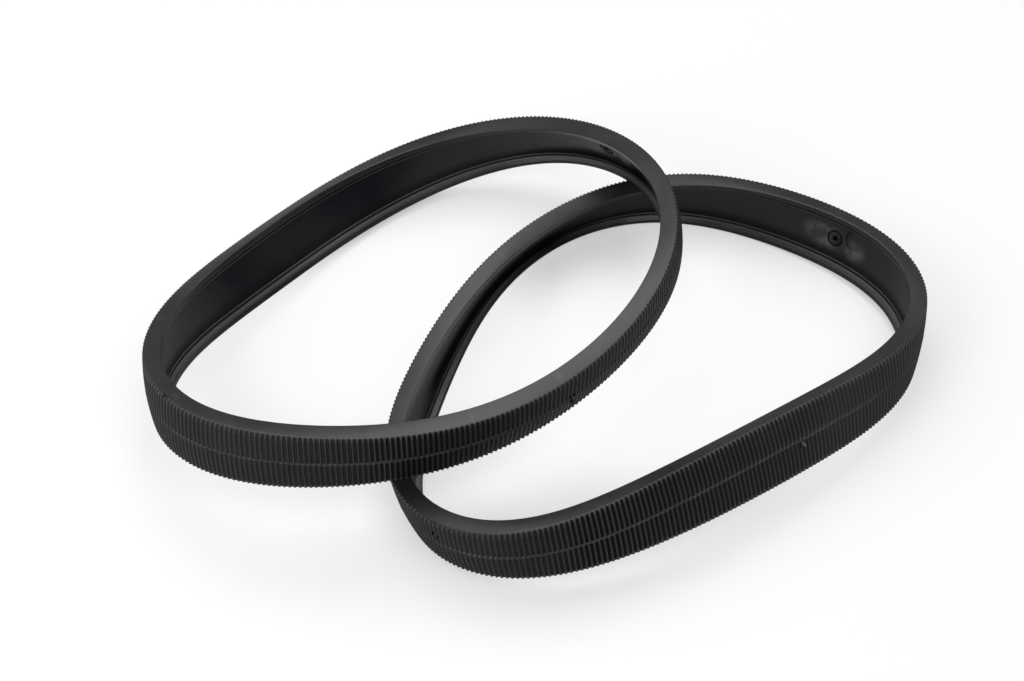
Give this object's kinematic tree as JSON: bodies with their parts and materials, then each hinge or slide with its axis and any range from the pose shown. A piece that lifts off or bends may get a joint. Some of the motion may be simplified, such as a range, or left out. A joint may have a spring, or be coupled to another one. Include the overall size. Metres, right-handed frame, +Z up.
{
  "type": "rubber track pair",
  "caption": "Two endless ribbed rubber tracks lying together, one leaning over the other, each with a tread outside and a smooth wheel channel between two lips inside.",
  "frame": {"origin": "on the ground, under the middle of the pair's box", "axes": "+Z up, +X along the pair's length towards the lower track's far end, +Y away from the front of the pair"},
  "size_m": [0.2942, 0.2114, 0.0618],
  "materials": {
    "tread_rubber": "satin moulded",
    "cushion_gum": "matte",
    "tension_cord": "cord wound in gum",
    "fabric_ply": "rubberised weave",
    "channel_rubber": "smooth moulded",
    "lip_rubber": "smooth moulded"
  },
  "bodies": {
    "lower_track": {"lower_tread_cover": "tread_rubber", "lower_cushion_gum": "cushion_gum", "lower_cord_band": "tension_cord", "lower_fabric_ply": "fabric_ply", "lower_inner_cover": "channel_rubber", "lower_bottom_lip": "lip_rubber", "lower_top_lip": "lip_rubber"},
    "upper_track": {"upper_tread_cover": "tread_rubber", "upper_cushion_gum": "cushion_gum", "upper_cord_band": "tension_cord", "upper_fabric_ply": "fabric_ply", "upper_inner_cover": "channel_rubber", "upper_bottom_lip": "lip_rubber", "upper_top_lip": "lip_rubber"}
  },
  "joints": [
    {"name": "lift_upper_track", "type": "slide", "parent": "lower_track", "child": "upper_track", "axis": [0, 0, 1], "range_m": [0, 0.06]}
  ]
}
